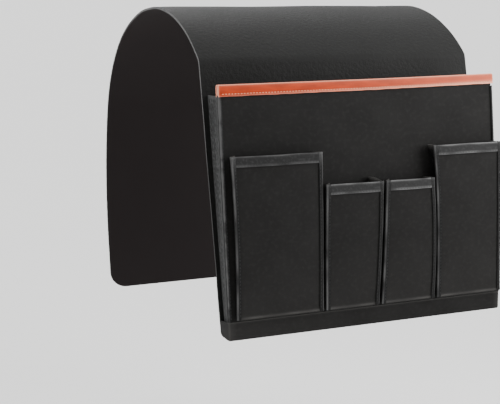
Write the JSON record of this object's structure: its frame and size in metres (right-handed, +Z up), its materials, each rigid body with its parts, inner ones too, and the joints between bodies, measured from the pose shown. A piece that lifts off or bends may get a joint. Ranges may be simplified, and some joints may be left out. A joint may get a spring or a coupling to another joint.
{
  "type": "sofa armrest organizer",
  "caption": "Saddle organizer that drapes over a sofa's arm, with a boxed main pouch and patch pockets on its front for small things.",
  "frame": {"origin": "under the crown of the saddle, on the lining, at the middle of its width: where the organizer rests on the top of the arm", "axes": "+X along the sofa's arm, -Y out towards the pouch and its pockets, +Z up"},
  "size_m": [0.322, 0.4097, 0.3602],
  "materials": {
    "leatherette": "matte, fine grain",
    "lining_cloth": "matte",
    "panel_cloth": "matte coated cloth",
    "felt": "speckled felt",
    "woven_tape": "woven",
    "board": "plain",
    "tan_leather": "smooth, satin"
  },
  "bodies": {
    "arch": {"arch_cover": "leatherette", "arch_lining": "lining_cloth"},
    "inner_flap": {"inner_flap_cover": "leatherette", "inner_flap_lining": "lining_cloth"},
    "pouch": {"back_panel_cover": "leatherette", "back_panel_lining": "lining_cloth", "bottom_boot": "panel_cloth", "left_gusset": "felt", "right_gusset": "felt"},
    "pouch_front": {"front_cover": "panel_cloth", "front_stiffener": "board", "front_lining": "lining_cloth", "trim_band": "tan_leather", "left_edge_binding": "woven_tape", "right_edge_binding": "woven_tape", "left_large_pocket_left_pleat": "felt", "left_large_pocket_right_pleat": "felt", "left_small_pocket_left_pleat": "felt", "left_small_pocket_right_pleat": "felt", "right_small_pocket_left_pleat": "felt", "right_small_pocket_right_pleat": "felt", "right_large_pocket_left_pleat": "felt", "right_large_pocket_right_pleat": "felt"},
    "left_large_pocket": {"left_large_pocket_panel": "panel_cloth", "left_large_pocket_hem": "woven_tape", "left_large_pocket_left_tape": "woven_tape", "left_large_pocket_right_tape": "woven_tape"},
    "left_small_pocket": {"left_small_pocket_panel": "panel_cloth", "left_small_pocket_hem": "woven_tape", "left_small_pocket_left_tape": "woven_tape", "left_small_pocket_right_tape": "woven_tape"},
    "right_small_pocket": {"right_small_pocket_panel": "panel_cloth", "right_small_pocket_hem": "woven_tape", "right_small_pocket_left_tape": "woven_tape", "right_small_pocket_right_tape": "woven_tape"},
    "right_large_pocket": {"right_large_pocket_panel": "panel_cloth", "right_large_pocket_hem": "woven_tape", "right_large_pocket_left_tape": "woven_tape", "right_large_pocket_right_tape": "woven_tape"}
  },
  "joints": [
    {"name": "inner_flap_fold", "type": "hinge", "parent": "arch", "child": "inner_flap", "pos_m": [0, 0.18459, -0.12696], "axis": [1, 0, 0], "range_deg": [0, 75]},
    {"name": "pouch_fold", "type": "hinge", "parent": "arch", "child": "pouch", "pos_m": [0, -0.12978, -0.04987], "axis": [-1, 0, 0], "range_deg": [0, 75]},
    {"name": "mouth_fold", "type": "hinge", "parent": "pouch", "child": "pouch_front", "pos_m": [0, -0.20401, -0.30514], "axis": [1, 0, 0], "range_deg": [-8, 0], "stiffness_Nm_per_rad": 1, "springref_deg": 8.59, "deforming": ["left_gusset", "right_gusset"]},
    {"name": "left_large_pocket_fold", "type": "hinge", "parent": "pouch_front", "child": "left_large_pocket", "pos_m": [0, -0.21242, -0.30386], "axis": [1, 0, 0], "range_deg": [-3.5, 5], "stiffness_Nm_per_rad": 0.3, "deforming": ["left_large_pocket_left_pleat", "left_large_pocket_right_pleat"]},
    {"name": "left_small_pocket_fold", "type": "hinge", "parent": "pouch_front", "child": "left_small_pocket", "pos_m": [0, -0.21242, -0.30386], "axis": [1, 0, 0], "range_deg": [-4.5, 5], "stiffness_Nm_per_rad": 0.3, "deforming": ["left_small_pocket_left_pleat", "left_small_pocket_right_pleat"]},
    {"name": "right_small_pocket_fold", "type": "hinge", "parent": "pouch_front", "child": "right_small_pocket", "pos_m": [0, -0.21242, -0.30386], "axis": [1, 0, 0], "range_deg": [-4.5, 5], "stiffness_Nm_per_rad": 0.3, "deforming": ["right_small_pocket_left_pleat", "right_small_pocket_right_pleat"]},
    {"name": "right_large_pocket_fold", "type": "hinge", "parent": "pouch_front", "child": "right_large_pocket", "pos_m": [0, -0.21242, -0.30386], "axis": [1, 0, 0], "range_deg": [-3.5, 5], "stiffness_Nm_per_rad": 0.3, "deforming": ["right_large_pocket_left_pleat", "right_large_pocket_right_pleat"]}
  ]
}
